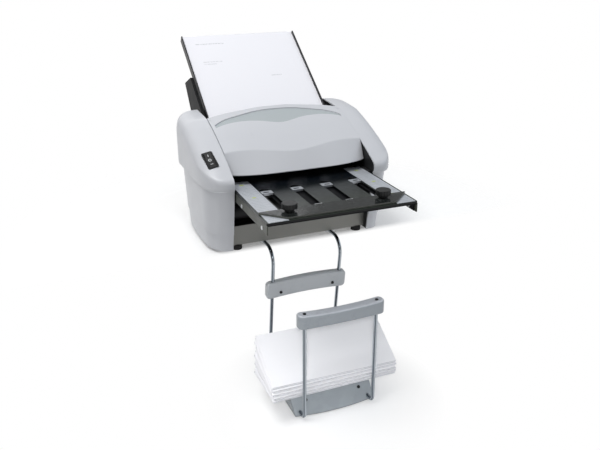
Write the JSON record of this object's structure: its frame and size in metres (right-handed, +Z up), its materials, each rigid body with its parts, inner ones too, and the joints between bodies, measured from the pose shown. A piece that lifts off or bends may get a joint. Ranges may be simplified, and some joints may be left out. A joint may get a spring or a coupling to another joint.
{
  "type": "paper folding machine",
  "caption": "Desktop letter folding machine: sloping feed tray with side guides, hinged front cover, fold table with sliding stop bar, and a wire catch tray hanging over the desk's edge.",
  "frame": {"origin": "on the desk plane, under the middle of the machine's width, between its front and rear feet", "axes": "+X to the machine's right, +Y to its back, +Z up; the operator stands at -Y"},
  "size_m": [0.33, 0.4878, 0.5392],
  "materials": {
    "cover_grey": "satin light grey",
    "black_steel": "fine black powder coat",
    "base_olive": "dark olive-grey metallic",
    "bright_steel": "plain",
    "rubber_black": "matte",
    "switch_black": "fine grain",
    "tray_black": "fine grain",
    "guide_grey": "dark grey",
    "paper_white": "plain sheets",
    "roller_rubber": "ground",
    "roller_steel": "knurled",
    "gear_nylon": "moulded",
    "brass_bush": "sintered",
    "motor_steel": "plain",
    "board_green": "lacquered",
    "smoke_plastic": "smoked, glossy",
    "table_metal": "satin",
    "label_white": "printed scale",
    "catch_grey": "light grey",
    "rod_chrome": "bright"
  },
  "bodies": {
    "machine": {"chassis_base": "base_olive", "side_plate_left": "black_steel", "side_plate_right": "black_steel", "tie_bars": "bright_steel", "frame_screws": "bright_steel", "rear_cover": "black_steel", "power_inlet": "switch_black", "end_cover_left": "cover_grey", "end_cover_right": "cover_grey", "switch_bezel": "switch_black", "rubber_feet": "rubber_black", "board_standoffs": "bright_steel", "circuit_board": "board_green", "feed_tray": "tray_black", "separator_pad": "roller_rubber", "timing_belt": "rubber_black", "idler_stud": "bright_steel", "motor_body": "motor_steel", "roller_bushes": "brass_bush", "rear_fold_plate": "bright_steel", "table_runners": "bright_steel", "rod_clips": "bright_steel"},
    "front_cover": {"front_cover": "cover_grey"},
    "rocker": {"switch_rocker": "switch_black"},
    "feed_roller": {"feed_roller_shaft": "bright_steel", "feed_roller_tyres": "roller_rubber", "feed_pulley": "gear_nylon"},
    "roller_1": {"fold_roller_1": "roller_steel", "roller_gear_1": "gear_nylon", "drive_pulley": "gear_nylon"},
    "roller_2": {"fold_roller_2": "roller_steel", "roller_gear_2": "gear_nylon"},
    "roller_3": {"fold_roller_3": "roller_steel", "roller_gear_3": "gear_nylon"},
    "roller_4": {"fold_roller_4": "roller_steel", "roller_gear_4": "gear_nylon"},
    "idler": {"idler_gear": "gear_nylon"},
    "motor": {"motor_shaft": "bright_steel", "motor_pinion": "brass_bush"},
    "guide_left": {"guide_left": "guide_grey"},
    "guide_right": {"guide_right": "guide_grey"},
    "paper": {"paper_stack": "paper_white"},
    "table": {"table_top_plate": "smoke_plastic", "table_lower_plate": "table_metal", "table_rails": "table_metal", "table_front_bar": "tray_black", "scale_labels": "label_white", "table_rivets": "bright_steel", "slot_clips": "bright_steel"},
    "stop": {"stop_bar": "smoke_plastic", "stop_fingers": "bright_steel", "clamp_nuts": "bright_steel"},
    "knob_left": {"knob_left": "switch_black"},
    "knob_right": {"knob_right": "switch_black"},
    "catch": {"catch_rods": "rod_chrome", "catch_back_bar": "catch_grey", "catch_front_bar": "catch_grey", "catch_floor": "catch_grey", "catch_screws": "bright_steel"},
    "letters": {"folded_letters": "paper_white"}
  },
  "joints": [
    {"name": "front_cover_hinge", "type": "hinge", "parent": "machine", "child": "front_cover", "pos_m": [0, 0.036, 0.181], "axis": [-1, 0, 0], "range_deg": [0, 55]},
    {"name": "rocker_tilt", "type": "hinge", "parent": "machine", "child": "rocker", "pos_m": [-0.14364, -0.06313, 0.1504], "axis": [-0.9799, 0, -0.1993], "range_deg": [0, 16]},
    {"name": "feed_roller_spin", "type": "hinge", "parent": "machine", "child": "feed_roller", "pos_m": [0, 0.01316, 0.1617], "axis": [1, 0, 0], "continuous": true},
    {"name": "roller_1_spin", "type": "hinge", "parent": "machine", "child": "roller_1", "pos_m": [0, -0.025, 0.12], "axis": [1, 0, 0], "continuous": true},
    {"name": "roller_2_spin", "type": "hinge", "parent": "machine", "child": "roller_2", "pos_m": [0, -0.025, 0.09], "axis": [1, 0, 0], "continuous": true},
    {"name": "roller_3_spin", "type": "hinge", "parent": "machine", "child": "roller_3", "pos_m": [0, -0.055, 0.09], "axis": [1, 0, 0], "continuous": true},
    {"name": "roller_4_spin", "type": "hinge", "parent": "machine", "child": "roller_4", "pos_m": [0, -0.055, 0.06], "axis": [1, 0, 0], "continuous": true},
    {"name": "idler_spin", "type": "hinge", "parent": "machine", "child": "idler", "pos_m": [0, 0.01729, 0.07461], "axis": [1, 0, 0], "continuous": true},
    {"name": "motor_spin", "type": "hinge", "parent": "machine", "child": "motor", "pos_m": [0, 0.05263, 0.05813], "axis": [1, 0, 0], "continuous": true},
    {"name": "guide_left_slide", "type": "slide", "parent": "machine", "child": "guide_left", "axis": [-1, 0, 0], "range_m": [0, 0.008]},
    {"name": "guide_right_slide", "type": "slide", "parent": "machine", "child": "guide_right", "axis": [1, 0, 0], "range_m": [0, 0.008]},
    {"name": "paper_lift", "type": "slide", "parent": "machine", "child": "paper", "axis": [0, 0.809, 0.5878], "range_m": [0, 0.05]},
    {"name": "table_slide", "type": "slide", "parent": "machine", "child": "table", "axis": [0, -1, 0], "range_m": [0, 0.05]},
    {"name": "stop_slide", "type": "slide", "parent": "table", "child": "stop", "axis": [0, 1, 0], "range_m": [0, 0.074]},
    {"name": "knob_left_turn", "type": "hinge", "parent": "stop", "child": "knob_left", "pos_m": [-0.0745, -0.223, 0.12], "axis": [0, 0, 1], "range_deg": [0, 360]},
    {"name": "knob_right_turn", "type": "hinge", "parent": "stop", "child": "knob_right", "pos_m": [0.0745, -0.223, 0.12], "axis": [0, 0, 1], "range_deg": [0, 360]},
    {"name": "catch_slide", "type": "slide", "parent": "machine", "child": "catch", "axis": [0, -1, 0], "range_m": [0, 0.08]},
    {"name": "letters_lift", "type": "slide", "parent": "catch", "child": "letters", "axis": [0, 0, 1], "range_m": [0, 0.05]}
  ],
  "couplings": [
    {"joint": "roller_1_spin", "follows": "roller_2_spin", "ratio": -1},
    {"joint": "roller_3_spin", "follows": "roller_2_spin", "ratio": -1},
    {"joint": "roller_4_spin", "follows": "roller_2_spin", "ratio": 1},
    {"joint": "idler_spin", "follows": "roller_2_spin", "ratio": -0.5},
    {"joint": "motor_spin", "follows": "roller_2_spin", "ratio": 1.6667},
    {"joint": "feed_roller_spin", "follows": "roller_2_spin", "ratio": -0.76923}
  ]
}
